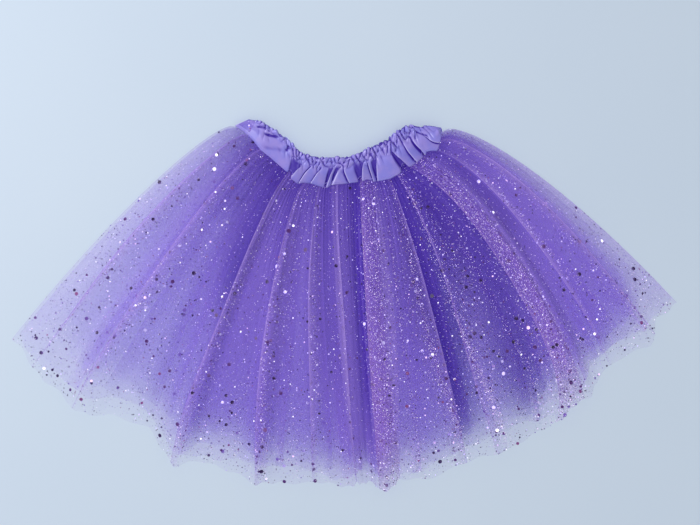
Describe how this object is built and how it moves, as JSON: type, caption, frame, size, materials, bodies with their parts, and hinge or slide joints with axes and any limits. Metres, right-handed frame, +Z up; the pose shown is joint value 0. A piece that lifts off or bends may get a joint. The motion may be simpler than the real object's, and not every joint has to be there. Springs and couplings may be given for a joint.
{
  "type": "tulle skirt",
  "caption": "Child's gathered skirt of sheer glitter tulle over plain tulle, with a shirred satin waistband, lying flat with a fanned hem.",
  "frame": {"origin": "centre of the skirt's outline in plan, at the surface it lies on", "axes": "+X along the fanned hem from the wearer's right side to the left side, +Y from the hem to the waistband, +Z up out of the surface"},
  "size_m": [0.618, 0.342, 0.0246],
  "materials": {
    "glitter_tulle": "sheer net with scattered glitter",
    "plain_tulle": "fine soft net, matte",
    "satin": "smooth satin with a soft sheen"
  },
  "bodies": {
    "root": {"glitter_tulle_back": "glitter_tulle", "outer_plain_tulle_back": "plain_tulle", "inner_plain_tulle_back": "plain_tulle", "inner_plain_tulle_front": "plain_tulle", "outer_plain_tulle_front": "plain_tulle", "glitter_tulle_front": "glitter_tulle", "waistband_back": "satin", "waistband_front": "satin"}
  },
  "joints": []
}
